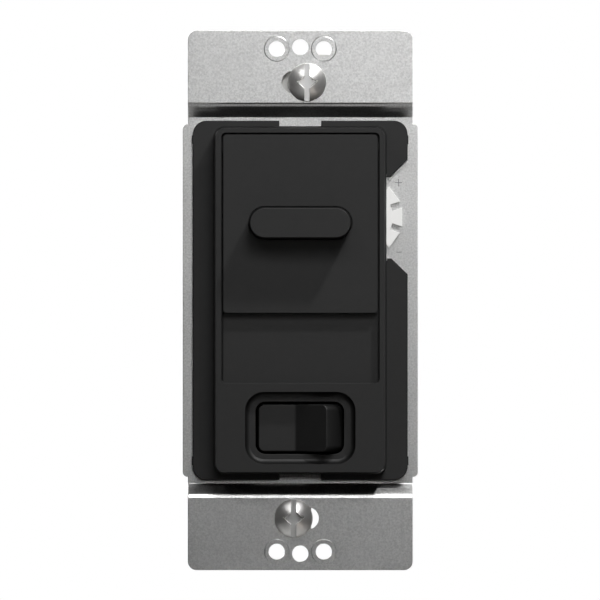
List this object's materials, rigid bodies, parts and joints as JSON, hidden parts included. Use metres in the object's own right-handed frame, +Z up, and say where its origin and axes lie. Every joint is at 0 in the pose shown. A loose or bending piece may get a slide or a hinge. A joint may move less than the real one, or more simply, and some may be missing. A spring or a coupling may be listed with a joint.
{
  "type": "dimmer slide switch",
  "caption": "Decorator-style wall dimmer with a slide over a recessed well, an on/off rocker below it and a notched trim wheel at one side, on a metal mounting strap with box screws.",
  "frame": {"origin": "middle of the strap in the wall plane, which is the rear face of the strap's ears", "axes": "+X to the right and +Z up as seen from the front, +Y into the wall; the face points to -Y"},
  "size_m": [0.045, 0.0401, 0.1032],
  "materials": {
    "strap_metal": "satin, fine random grain",
    "black_plastic": "satin moulded",
    "housing_plastic": "moulded, matt",
    "white_plastic": "moulded",
    "fibre": "pressed fibre sheet",
    "screw_nickel": "polished zinc plate",
    "screw_brass": "brushed",
    "green_steel": "green passivated",
    "contact_brass": "stamped",
    "spring_steel": "drawn wire",
    "copper_wire": "enamelled copper",
    "pot_case": "folded sheet",
    "board_green": "solder resist",
    "epoxy_black": "moulded epoxy",
    "ferrite_core": "sintered",
    "film_yellow": "moulded box",
    "film_red": "moulded box",
    "blue_plastic": "moulded",
    "tan_plastic": "moulded phenolic",
    "resistor_tan": "lacquered",
    "glass_red": "sealed bead",
    "ceramic_white": "unglazed",
    "sheet_grey": "thermal pad"
  },
  "bodies": {
    "base": {"mounting_strap": "strap_metal", "front_frame": "black_plastic", "slide_pot_body": "pot_case", "common_bracket": "contact_brass", "fixed_contact_left": "contact_brass", "fixed_contact_right": "contact_brass", "switch_base": "tan_plastic", "trim_pot_body": "blue_plastic", "rear_housing": "housing_plastic", "assembly_screw_1": "screw_nickel", "assembly_screw_2": "screw_nickel", "assembly_screw_3": "screw_nickel", "assembly_screw_4": "screw_nickel", "terminal_plate_1": "contact_brass", "terminal_plate_2": "contact_brass", "terminal_plate_3": "contact_brass", "circuit_board": "board_green", "triac": "epoxy_black", "triac_insulator": "sheet_grey", "triac_rivet": "strap_metal", "choke_core": "ferrite_core", "choke_winding": "copper_wire", "suppressor_capacitor": "film_yellow", "timing_capacitor": "film_red", "resistor_1": "resistor_tan", "resistor_2": "resistor_tan", "diac": "glass_red", "varistor": "blue_plastic", "fuse": "ceramic_white"},
    "dimmer_slide": {"slide_panel": "black_plastic", "slide_carriage": "white_plastic", "slide_pot_lever": "contact_brass"},
    "rocker_paddle": {"rocker": "black_plastic", "rocker_plunger": "white_plastic", "rocker_spring": "spring_steel"},
    "switch_arm": {"contact_arm": "contact_brass"},
    "trim_wheel": {"trim_wheel": "white_plastic"},
    "retainer_upper": {"screw_retainer_upper": "fibre"},
    "retainer_lower": {"screw_retainer_lower": "fibre"},
    "box_screw_upper": {"box_screw_upper": "screw_nickel"},
    "box_screw_lower": {"box_screw_lower": "screw_nickel"},
    "terminal_screw_1": {"terminal_screw_1": "screw_brass"},
    "terminal_screw_2": {"terminal_screw_2": "screw_brass"},
    "terminal_screw_3": {"terminal_screw_3": "screw_brass"},
    "ground_screw": {"ground_screw": "green_steel"}
  },
  "joints": [
    {"name": "dimmer_travel", "type": "slide", "parent": "base", "child": "dimmer_slide", "axis": [0, 0, -1], "range_m": [0, 0.0132]},
    {"name": "rocker_tilt", "type": "hinge", "parent": "base", "child": "rocker_paddle", "pos_m": [0, -0.00203, -0.0243], "axis": [0, 0, 1], "range_deg": [0, 32]},
    {"name": "contact_arm_tilt", "type": "hinge", "parent": "base", "child": "switch_arm", "pos_m": [0, 0.00765, -0.0243], "axis": [0, 0, 1], "range_deg": [-16, 0]},
    {"name": "trim_wheel_turn", "type": "hinge", "parent": "base", "child": "trim_wheel", "pos_m": [0.0119, 0, 0.0159], "axis": [0, -1, 0], "range_deg": [-135, 135]},
    {"name": "upper_screw_shift", "type": "slide", "parent": "base", "child": "retainer_upper", "axis": [1, 0, 0], "range_m": [-0.00305, 0.00045]},
    {"name": "lower_screw_shift", "type": "slide", "parent": "base", "child": "retainer_lower", "axis": [1, 0, 0], "range_m": [-0.00045, 0.00305]},
    {"name": "box_screw_upper_turn", "type": "hinge", "parent": "retainer_upper", "child": "box_screw_upper", "pos_m": [0.0013, 0, 0.04167], "axis": [0, -1, 0], "continuous": true},
    {"name": "box_screw_lower_turn", "type": "hinge", "parent": "retainer_lower", "child": "box_screw_lower", "pos_m": [-0.00127, 0, -0.04167], "axis": [0, -1, 0], "continuous": true},
    {"name": "terminal_screw_1_turn", "type": "hinge", "parent": "base", "child": "terminal_screw_1", "pos_m": [0.0195, 0.019, -0.006], "axis": [1, 0, 0], "continuous": true},
    {"name": "terminal_screw_2_turn", "type": "hinge", "parent": "base", "child": "terminal_screw_2", "pos_m": [0.0195, 0.019, -0.02], "axis": [1, 0, 0], "continuous": true},
    {"name": "terminal_screw_3_turn", "type": "hinge", "parent": "base", "child": "terminal_screw_3", "pos_m": [-0.0195, 0.019, -0.013], "axis": [-1, 0, 0], "continuous": true},
    {"name": "ground_screw_turn", "type": "hinge", "parent": "base", "child": "ground_screw", "pos_m": [-0.004, 0.0086, -0.0349], "axis": [0, 0, -1], "continuous": true}
  ],
  "couplings": [
    {"joint": "contact_arm_tilt", "follows": "rocker_tilt", "ratio": -0.5}
  ]
}
